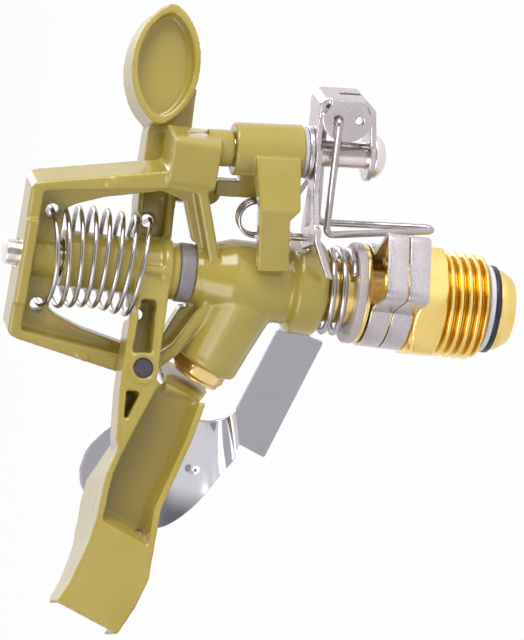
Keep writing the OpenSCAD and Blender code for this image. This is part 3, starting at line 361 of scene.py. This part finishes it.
def casting(name, node, body, material, voxel, rounds, touch=None):
    """A copy of a CAD node, merged and remeshed to small cells whose corners are then drawn round, as a poured and
    tumbled casting has them. Each round moves the points half way to their neighbours' middle, and then as far
    away from the new one. The voxel is in millimetres."""
    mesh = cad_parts[node].data.copy()
    mesh.name = name
    obj = bpy.data.objects.new(name, mesh)
    bpy.context.scene.collection.objects.link(obj)
    weld = obj.modifiers.new("weld", "WELD")
    weld.merge_threshold = WELD
    cells = obj.modifiers.new("cells", "REMESH")
    cells.mode = "VOXEL"
    cells.voxel_size = voxel * MM
    done = bpy.data.meshes.new_from_object(obj.evaluated_get(bpy.context.evaluated_depsgraph_get()))
    obj.modifiers.clear()
    obj.data = done
    done.name = name
    n = len(done.vertices)
    co = np.empty(n * 3)
    done.vertices.foreach_get("co", co)
    co = co.reshape(-1, 3)
    e = np.empty(len(done.edges) * 2, int)
    done.edges.foreach_get("vertices", e)
    a, b = e.reshape(-1, 2).T
    count = np.bincount(a, minlength=n) + np.bincount(b, minlength=n)

    def towards_neighbours(q, share):
        total = np.stack([np.bincount(a, q[b, k], n) + np.bincount(b, q[a, k], n) for k in range(3)], 1)
        return q + share * (total / count[:, None] - q)

    for _ in range(rounds):
        co = towards_neighbours(co, 0.5)
        co = towards_neighbours(co, -0.5)
    if touch:
        co = touch(co)
    done.vertices.foreach_set("co", co.ravel())
    done.polygons.foreach_set("use_smooth", np.ones(len(done.polygons), bool))
    done.update()
    done.materials.clear()
    done.materials.append(material)
    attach(obj, body)
    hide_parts(node)


# ---------------------------------------------------------------- frames of the part


def rotation_y(degrees):
    """The matrix of a turn about Y."""
    a = math.radians(degrees)
    return np.array([[math.cos(a), 0, math.sin(a)], [0, 1, 0], [-math.sin(a), 0, math.cos(a)]])


# Each is a turn and a place in millimetres
JET = (rotation_y(JET_ANGLE - 90), np.array([0, 0, JET_Z]))
TRIP = (rotation_y(-TRIP_LEAN), np.array([27.05, 0, 38.0]))


def in_trip(verts):
    """Points of the trip pin's leaning frame, in the part's own."""
    return np.asarray(verts) @ TRIP[0].T + TRIP[1]


# ---------------------------------------------------------------- inlet


def nipple():
    """The inlet: radius as a function of angle and height. A ridge that climbs a pitch a turn, a hexagon cut by
    cones, the collars' shoulder, the neck and the flange, then back down the bore."""
    n = 360
    a = np.arange(n) / n * TAU
    pitch, depth, crest = 1.814, 1.16, 10.4775
    root = crest - depth
    half_flat, corner = 10.6, 11.7

    def ridge(z):
        """The radius at height z all round: a ridge with a flat crest, faded out at both ends of the thread."""
        phase = (z - 1.3) / pitch - a / TAU
        x = np.abs(phase - np.round(phase)) * 2
        rise = np.clip((0.86 - x) / 0.58, 0, 1)
        rise = rise * rise * (3 - 2 * rise) * 0.5 + rise * 0.5
        fade = np.clip((z - 0.2) / 1.0, 0, 1) * np.clip((9.05 - z) / 0.5, 0, 1)
        return root + depth * rise * fade

    z_thread = np.linspace(0.35, 9.3, 110)
    rows = [(np.full(n, root - 0.5), np.zeros(n)), (np.full(n, root - 0.12), np.full(n, 0.16))]
    rows += [(ridge(z), np.full(n, z)) for z in z_thread]
    flat = half_flat / np.cos((a - math.radians(-12)) % (TAU / 6) - TAU / 12)
    side = np.minimum(flat, corner)
    side = side - 0.1 * np.exp(-(((flat - corner) / 0.25) ** 2))
    hz = np.array([0, 0.08, 0.25, 0.5, 0.8, 1.0, 2, 3.2, 4.4, 4.9, 5.15, 5.4, 5.65, 5.85, 5.95, 6.0])
    limit = np.interp(hz, [0, 0.8, 4.9, 6.0], [10.95, 11.8, 11.8, 10.3])
    rows.append((np.full(n, root + 0.1), np.full(n, HEX_Z)))
    for h, top in zip(hz, limit):
        rows.append((np.minimum(side, top) - (0.08 if h in (0, 6.0) else 0.0), np.full(n, HEX_Z + h)))
    bore = SLEEVE_FIT / 2
    above = [(9.35, 15.42), (9.35, 21.2), (7.2, 21.25), (7.2, 24.45), (9.75, 24.5), (9.75, UPPER_WASHER_Z),
             (bore, UPPER_WASHER_Z), (bore, 0)]
    for r, z in arc_corner(above, [0, 0.15, 0.1, 0.1, 0.12, 0.12, 0.1, 0.1], n=4):
        rows.append((np.full(n, r), np.full(n, z)))
    r = np.stack([q[0] for q in rows])
    z = np.stack([q[1] for q in rows])
    verts = np.stack([r * np.cos(a), r * np.sin(a), z], -1).reshape(-1, 3)
    return verts, quads(len(rows), n, True, True)


def collar_path():
    """The plan of a stop collar: a ring of mean radius 9.8 that turns out into a loop with round corners."""
    ring = 9.8
    gap = math.radians(42)
    a = np.linspace(gap, TAU - gap, 90)
    circle = np.stack([ring * np.cos(a), ring * np.sin(a)], 1)
    low = np.array([[8.1, -5.6], [19.2, -6.5], [19.2, 6.5], [8.1, 5.6]])
    corners = np.concatenate([circle[-1:], low, circle[:1]])
    loop = arc_corner(corners, [0, 1.1, 1.6, 1.6, 1.1, 0], closed=False, n=8)
    return np.concatenate([circle, loop[1:-1]])


def pressure_spring_path():
    """The coil of radius 8.2 under the body, in seventeen eighths of a turn: the first and the last lie flat, and
    the rise between them is even."""
    eighths = 17
    i = np.linspace(0, eighths, eighths * 10 + 1)
    a = TAU * i / 8 - math.radians(50)
    s = np.clip((i - 1) / (eighths - 2), 0, 1)
    return np.stack([8.2 * np.cos(a), 8.2 * np.sin(a), 27.0 + 0.65 + 0.05 + 4.3 * s], 1)


v, f = nipple()
add("inlet_nipple", v, f, "inlet", BRASS, "bearing_nipple")
for name, z, t, d, mat, slot in (
    ("lower_nylon_washer", -1.15, 1.15, 17.2, WHITE, "white_nylon"),
    ("lower_rubber_seal", -2.3, 1.15, 17.3, RUBBER, "seal_rubber"),
    ("upper_nylon_washer", UPPER_WASHER_Z, 1.7, 19.9, BUFF, "white_nylon"),
):
    v, f = turned(washer(z, t, d, SLEEVE_FIT), soften=0.3)
    add("dressed_" + name, v, f, "inlet", mat, name)
for name, z in (("trip_collar_lower", COLLAR_LOWER_Z), ("trip_collar_upper", COLLAR_UPPER_Z)):
    v, f = strip(collar_path()[::-1], 4.1, 0.8, z)
    add("dressed_" + name, turn_z(v, -56), f, name.replace("trip_", ""), STRIP, name)
v, f = wire(pressure_spring_path(), 1.3, 16)
add("dressed_pressure_spring", v, f, "inlet", WIRE, "pressure_spring")

# ---------------------------------------------------------------- head

sleeve = [(4.75, -5.8), (6.5, -5.8), (7.95, -3.6), (7.95, -2.3), (6.3, -2.3), (6.3, 40.7), (4.75, 40.7)]
v, f = turned(sleeve, 96, 0.2)
add("dressed_sleeve", v, f, "head", BRASS, "sleeve_tube")


def ejector_marks(co):
    """Raises the flat round marks that the mould's ejectors leave on the bridge's near side."""
    for x, z in ((-18.0, 78.0), (17.0, 78.0)):
        away = np.hypot(co[:, 0] / MM - x, co[:, 2] / MM - z)
        near = np.clip((1.35 - away) / 0.3, 0, 1) * (co[:, 1] < -4.7 * MM)
        co[:, 1] -= 0.28 * MM * near * near * (3 - 2 * near)
    return co


casting("head_casting", "head_body", "head", ENAMEL, 0.34, 24, touch=ejector_marks)
v, f = turned(pin_outline(2.5, 51.7, 96.0, 0.5), 48, 0.15)
add("dressed_fulcrum_pin", v, f, "head", PIN, "fulcrum_pin")
v, f = turned(washer(58.75, 3.0, 11.6, FULCRUM_FIT), soften=0.5)
add("dressed_thrust_washer", v, f, "head", GREY, "hub_thrust_washer")


def nozzle():
    """The nozzle along the jet: the threaded shank, the hexagon cut by a cone, the turned tip and the bore."""
    n = 180
    a = np.arange(n) / n * TAU
    hexagon = 5.0 / np.cos(a % (TAU / 6) - TAU / 12)
    outline = [(3.5, 12.2), (4.6, 12.2), (4.6, 19.22)]
    rows = [(np.full(n, r), np.full(n, z)) for r, z in outline]
    for z, top in ((19.22, 5.35), (19.4, 5.6), (21.0, 5.75), (21.35, 5.5), (21.62, 5.05)):
        rows.append((np.minimum(hexagon, top), np.full(n, z)))
    tip = [(4.9, 21.62), (4.9, 22.4), (2.6, 22.4), (1.8, 21.6), (1.8, 19.4)]
    for r, z in arc_corner(tip, [0, 0.25, 0.1, 0.1, 0], n=4):
        rows.append((np.full(n, r), np.full(n, z)))
    r, z = np.stack([q[0] for q in rows]), np.stack([q[1] for q in rows])
    verts = np.stack([r * np.cos(a), r * np.sin(a), z], -1).reshape(-1, 3)
    return verts @ JET[0].T + JET[1], quads(len(rows), n, True, True)


v, f = nozzle()
add("dressed_nozzle", v, f, "head", NOZZLE_BRASS, "nozzle")

# ---------------------------------------------------------------- swing arm

casting("arm_casting", "swing_arm", "arm", ENAMEL, 0.348, 15)
for name, z in (("arm_bush_lower", 61.8), ("arm_bush_upper", 76.8)):
    v, f = turned(washer(z, 6.0, 7.4, FULCRUM_FIT), 48, 0.2)
    add("dressed_" + name, v, f, "arm", WHITE, name)
v, f = turned([(0.01, -5.2), (1.95, -5.2), (1.95, 1.3), (0.01, 1.3)], 40, 0.25)
v = np.stack([v[:, 0] - 20.0, v[:, 2], -v[:, 1] + 67.4], 1)
add("dressed_strike_plug", turn_z(v, ARM_YAW), f, "arm", PLUG, "strike_plug")

ARM_TURNS = 7 + (180 + ARM_YAW) / 360


def arm_spring_path(k):
    """The open coil: radius 9.5, seven and a half turns, leaning a little, bowed sideways at its middle."""
    a = math.pi + TAU * k
    s = k / ARM_TURNS
    tilt = np.where(k < 0.5, 0.4 + 2.2 * 2 * k, 2.6 - 3.8 * (k - 0.5) / (ARM_TURNS - 0.5))
    dip = -0.6 + 1.4 * s
    z = 88.0 - 2.53 * k + tilt / 2 * np.cos(a) - dip * np.sin(a)
    return np.stack([9.5 * np.cos(a) + 0.9 * np.sin(math.pi * s) ** 2, 9.5 * np.sin(a), z], 1)


coil = arm_spring_path(np.linspace(0, ARM_TURNS, 340))
tail = np.array([-math.sin(math.radians(ARM_YAW)), math.cos(math.radians(ARM_YAW)), 0])
path = np.concatenate([
    coil[0] + np.array([[0, 3.2, 0], [0, 2.4, 0], [0, 1.6, 0], [0, 0.8, 0]]), coil,
    coil[-1] + tail * np.array([[0.8], [1.8], [3.0], [4.6]]),
])
v, f = wire(path, 0.95, 16)
spring = add("dressed_arm_spring", v, f, "head", WIRE, None)
spring.parent = None
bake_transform(spring)
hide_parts("arm_spring")

# ---------------------------------------------------------------- trip

HEAD_Z = -10.55 - 0.05
pin = [(0.01, HEAD_Z - 2.9), (1.6, HEAD_Z - 2.75), (2.9, HEAD_Z - 2.3), (3.9, HEAD_Z - 1.5),
       (4.4, HEAD_Z - 0.6), (4.4, HEAD_Z), (2.6, HEAD_Z), (2.6, 27.5), (0.01, 27.5)]
v, f = turned(pin, 64, 0.3, TRIP)
add("dressed_trip_pin", v, f, "head", PIN, "trip_pivot_pin")
casting("trip_bracket_sheet", "trip_bracket", "trip", STRIP, 0.15, 10)
for name, z, d, mat, slot in (
    ("pivot_washer_lower", 1.55, 10.6, STRIP, "strip_steel"),
    ("pivot_washer_upper", 2.5, 10.0, LILAC, "grey_nylon"),
):
    v, f = turned(washer(z, 0.9, d, TRIP_PIN_FIT), 64, 0.2, TRIP)
    add("dressed_" + name, v, f, "trip", mat, name)
v, f = turned([(0.01, 0.4), (0.8, 0.4), (0.8, 3.7), (1.1, 3.72), (1.1, 4.6), (0.01, 4.6)], 32, 0.2)
v = in_trip(v + np.array([-16.8, -0.8, 0]))
add("dressed_spring_stud", v, f, "trip", PIN, "spring_stud")
casting("dog_casting", "reversing_dog", "dog", ENAMEL, 0.2, 30)
DOG_HOLE = [-9.6, -7.2, 7.6]


def toggle_spring_path():
    """The toggle in the trip frame: a coil of radius 3.4 about Y, two and a half turns, and a leg into the dog."""
    i = np.linspace(0, 20, 161)
    a = math.pi - TAU * i / 8
    turns = np.stack([-13.2 + 3.4 * np.cos(a), -3.4 + 1.3 * i / 8, 11.3 + 3.4 * np.sin(a)], 1)
    leg = [DOG_HOLE, [-9.6, -5.0, 7.6], [-15.4, -4.3, 8.9], turns[0], turns[4]]
    leg = arc_corner(leg, [0, 0.8, 1.2, 0.6, 0], closed=False, n=6)
    return np.concatenate([leg[:-1], turns[5:]])


def trip_wire_path():
    """The bail in the trip frame: a rod from each ear, brought together and turned down to a narrow loop."""
    y_ear, x_top, z_top = 7.0, 8.2 - 23.3, -2.4
    side = [[8.2, y_ear - 2.4, -2.1], [8.2, y_ear, -2.1], [x_top, 4.6, z_top], [x_top + 1, 1.15, z_top - 21.9]]
    bail = side + [[x, -y, z] for x, y, z in side[::-1]]
    return arc_corner(bail, [0, 1.2, 1.8, 1.1, 1.1, 1.8, 1.2, 0], closed=False, n=9)


v, f = wire(in_trip(toggle_spring_path()), 0.7, 12)
coil = add("dressed_toggle_spring", v, f, "trip", WIRE, None)
coil.parent = None
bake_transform(coil)
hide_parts("toggle_spring")
v, f = wire(in_trip(trip_wire_path()), 1.4, 18)
add("dressed_trip_wire", v, f, "wire", WIRE, "trip_wire")

# ---------------------------------------------------------------- deflector

# Outlines in millimetres along X and up from the body's foot. The leaf's two sides start at the ends of its root.
ROOT_NEAR, ROOT_FAR = (-29.7, 9.7), (-36.7, 7.8)
PLATE = [(-38.9, 2.3), (-13.6, -5.4), (-12.9, -2.3), (-6.5, -1.1), (-2.2, 0.3), (-2.2, 4.3), (-6.4, 5.7),
         (-12.2, 3.3), (-11.9, 4.1), ROOT_NEAR, ROOT_FAR]
NEAR_SIDE = [ROOT_NEAR, (-32.4, 11.9), (-33.6, 15.2), (-33.0, 20.3), (-33.1, 26.3), (-35, 31.3),
             (-37.9, 34.7), (-41.6, 37.3), (-46.0, 38.3)]
FAR_SIDE = [ROOT_FAR, (-40.8, 8.6), (-45.3, 10.5), (-51.6, 14.2), (-56.0, 18.9), (-57.3, 23.5),
            (-56.4, 28.4), (-53.6, 34), (-49.9, 37.3), (-46.4, 38.3)]
FLAP_Y = 10.2
LEAF_X, LEAF_Z, LEAF_BALL = -44.6, 23.7, 44.0


def eased(points, n):
    """n points along a curve that passes through the given ones, spaced evenly by its length."""
    p = np.asarray(points, float)
    ends = np.concatenate([2 * p[:1] - p[1:2], p, 2 * p[-1:] - p[-2:-1]])
    t = np.linspace(0, 1, 12, endpoint=False)[:, None, None]
    a, b, c, d = ends[:-3], ends[1:-2], ends[2:-1], ends[3:]
    curve = 0.5 * (2 * b + (c - a) * t + (2 * a - 5 * b + 4 * c - d) * t**2 + (3 * b - a - 3 * c + d) * t**3)
    curve = np.concatenate([curve.transpose(1, 0, 2).reshape(-1, 2), p[-1:]])
    along = np.concatenate([[0], np.cumsum(np.linalg.norm(np.diff(curve, axis=0), axis=1))])
    want = np.linspace(0, along[-1], n)
    return np.stack([np.interp(want, along, curve[:, k]) for k in range(2)], 1)


def deflector():
    """The deflector's front face: a flat plate, and a leaf between two curved sides whose depth is that of a ball,
    eased to the plate over the neck with a short dip. A small dimple is pressed in the leaf."""
    rows, cols = 130, 90
    near, far = eased(NEAR_SIDE, rows), eased(FAR_SIDE, rows)
    across_leaf = np.linspace(0, 1, cols)[None, :, None]
    plan = near[:, None] * (1 - across_leaf) + far[:, None] * across_leaf
    x, z = plan[..., 0], plan[..., 1]
    r2 = (x - LEAF_X) ** 2 + (z - LEAF_Z) ** 2
    bowl = -29.6 + np.sqrt(LEAF_BALL**2 - r2)
    root = np.array([ROOT_NEAR, ROOT_FAR])
    normal = np.array([-1.9, 7.0]) / math.hypot(1.9, 7.0)
    away = (x - root[0, 0]) * normal[0] + (z - root[0, 1]) * normal[1]
    w = np.clip(away / 6.0, 0, 1)
    w = w * w * (3 - 2 * w)
    y = FLAP_Y + w * (bowl - FLAP_Y) + 0.9 * np.exp(-(((away - 3.2) / 1.7) ** 2))
    y = y + 0.16 * np.exp(-((x + 44.0) ** 2 + (z - 15.7) ** 2) / 0.8)
    leaf = np.stack([x, y, z], -1)
    leaf[0, :, 1] = FLAP_Y
    verts = leaf.reshape(-1, 3)
    faces = [q[::-1] for q in quads(rows, cols, False, False)]
    corner = arc_corner(PLATE, [0.5, 0.5, 0.9, 0.5, 1.6, 1.6, 0.8, 0.5, 0.8, 0, 0], n=5)
    start = len(verts)
    rim = np.stack([corner[:, 0], np.full(len(corner), FLAP_Y), corner[:, 1]], 1)
    keep = [k for k, q in enumerate(corner) if min(np.hypot(*(q - root[0])), np.hypot(*(q - root[1]))) > 0.01]
    verts = np.concatenate([verts, rim[keep]])
    loop = [start + k for k in range(len(keep))]
    faces.append(loop + list(range(cols)))
    verts = verts + np.array([0, 0, BODY_Z])
    obj = add("deflector_sheet", verts, faces, "deflector", CHROME, "deflector_flap")
    obj.data.polygons[len(faces) - 1].use_smooth = False
    sheet = obj.modifiers.new("thickness", "SOLIDIFY")
    sheet.thickness = 0.00095
    sheet.offset = -1
    edge = obj.modifiers.new("edge", "BEVEL")
    edge.width = 0.00022
    edge.segments = 3
    edge.limit_method = "ANGLE"
    edge.angle_limit = math.radians(50)


deflector()


def at_flap_pivot(verts):
    """Points made along Z, laid along +Y on the deflector's screw."""
    return np.stack([verts[:, 0] - 5.2, verts[:, 2], 35.0 - verts[:, 1]], 1)


v, f = turned(washer(11.25, 0.7, 7.4, 3.6), 48, 0.15)
add("dressed_deflector_washer", at_flap_pivot(v), f, "head", STRIP, "deflector_washer")
screw = [(0.01, 6.0), (1.75, 6.0), (1.75, 12.0), (3.3, 12.0), (3.3, 13.3), (2.6, 14.0), (0.01, 14.0)]
v, f = turned(screw, 48, 0.3)
add("dressed_deflector_screw", at_flap_pivot(v), f, "head", PIN, "deflector_screw")

# ---------------------------------------------------------------- floor, light and camera

FLOOR_HALF, FLOOR_Z = 4, -0.07
LOOK_AT = (-0.01, 0, 0.05)
# The photograph's size, the pixel that the camera's axis meets, and its focal length in pixels
PHOTO_W, PHOTO_H = 524, 640
AXIS_X, AXIS_Y = 245.6, 280
FOCAL = 4464
SENSOR = 36


def floor():
    """A pale floor below the part. The camera sees it white, and reflections see a sheen on its rear half."""
    h, z = FLOOR_HALF, FLOOR_Z
    mesh = bpy.data.meshes.new("floor")
    mesh.from_pydata([(-h, -h, z), (h, -h, z), (h, h, z), (-h, h, z)], [], [(0, 1, 2, 3)])
    obj = bpy.data.objects.new("floor", mesh)
    bpy.context.scene.collection.objects.link(obj)
    material = bpy.data.materials.new("pale_floor")
    material.use_nodes = True
    tree = material.node_tree
    tree.nodes.clear()

    def node(kind, *inputs, **settings):
        return new_node(tree, kind, inputs, **settings).outputs

    rays = node("LightPath")
    depth = node("SeparateXYZ", node("TexCoord")["Object"])[1]
    sheen = node("MapRange", depth, 0.08, 0.3, 0.0, 0.85)[0]
    to_camera = node("Math", rays["Is Camera Ray"], 0.95, operation="MULTIPLY")[0]
    to_mirror = node("Math", rays["Is Glossy Ray"], sheen, operation="MULTIPLY")[0]
    share = node("Math", to_camera, to_mirror, operation="MAXIMUM")[0]
    both = node("MixShader", share, node("BsdfDiffuse", (0.82, 0.82, 0.83))[0], node("Emission")[0])[0]
    node("OutputMaterial", both)
    mesh.materials.append(material)


def surround():
    """The world: white to the camera and through glass, a soft light from above, and for reflections a bright
    shell behind and a panel in front."""
    world = bpy.data.worlds.new("surround")
    bpy.context.scene.world = world
    world.use_nodes = True
    tree = world.node_tree
    tree.nodes.clear()

    def node(kind, *inputs, **settings):
        return new_node(tree, kind, inputs, **settings).outputs

    rays = node("LightPath")
    direction = node("TexCoord")["Generated"]

    def towards(way, low, high, dark, bright):
        """Light that grows from dark to bright as a ray turns towards a way."""
        share = node("VectorMath", direction, way, operation="DOT_PRODUCT")[1]
        return node("MapRange", share, low, high, dark, bright)[0]

    ambient = towards((-0.2, -0.5, 0.84), -0.6, 0.9, 0.10, 0.56)
    shell = towards((-0.2, 0.77, 0.6), -0.25, 0.5, 0.3, 1.0)
    panel = towards((-0.5, -0.86, 0.12), 0.8, 0.93, 0.0, 1.45)
    studio = node("Math", shell, panel, operation="MAXIMUM")[0]
    soft, mirror, white = (node("Background", (1, 1, 1), level)[0] for level in (ambient, studio, 1.0))
    glossy = node("MixShader", rays["Is Glossy Ray"], soft, mirror)[0]
    clear = node("MixShader", rays["Is Transmission Ray"], glossy, white)[0]
    node("OutputWorld", node("MixShader", rays["Is Camera Ray"], clear, white)[0])


def lamp(name, spot, size, watts):
    """A square lamp that faces the part."""
    light = bpy.data.lights.new(name, "AREA")
    light.shape = "RECTANGLE"
    light.size, light.size_y = size, size
    light.energy = watts
    obj = bpy.data.objects.new(name, light)
    obj.location = spot
    obj.rotation_mode = "QUATERNION"
    obj.rotation_quaternion = (Vector(spot) - Vector(LOOK_AT)).to_track_quat("Z", "Y")
    bpy.context.scene.collection.objects.link(obj)


def camera():
    """The photograph's camera: it is turned on its side, because the photograph shows the part lying down."""
    az, el, roll = math.radians(15), math.radians(12.8), math.radians(6.86)
    back = np.array([math.sin(az) * math.cos(el), -math.cos(az) * math.cos(el), math.sin(el)])
    right = np.array([math.cos(az), math.sin(az), 0])
    up = np.cross(back, right)
    away, height = 0.851, 0.241
    m = np.eye(4)
    m[:3, 0] = right * math.sin(roll) - up * math.cos(roll)
    m[:3, 1] = right * math.cos(roll) + up * math.sin(roll)
    m[:3, 2] = back
    m[:3, 3] = away * math.sin(az), -away * math.cos(az), height
    data = bpy.data.cameras.new("camera")
    data.sensor_width = SENSOR
    data.lens = FOCAL * SENSOR / PHOTO_H
    data.shift_x = (PHOTO_W / 2 - AXIS_X) / PHOTO_H
    data.shift_y = -(PHOTO_H / 2 - AXIS_Y) / PHOTO_H
    data.clip_start, data.clip_end = 0.01, 20
    obj = bpy.data.objects.new("camera", data)
    bpy.context.scene.collection.objects.link(obj)
    obj.matrix_world = Matrix(m.tolist())
    bpy.context.scene.camera = obj


bpy.context.scene.view_settings.view_transform = "Standard"
floor()
surround()
lamp("top_lamp", (0.85, -0.2, 0.36), 0.6, 7.6)
lamp("front_lamp", (-0.4, -0.72, 0.62), 0.7, 3.6)
lamp("back_lamp", (0.2, 0.7, 0.4), 0.5, 2.0)
camera()
bpy.context.view_layer.update()
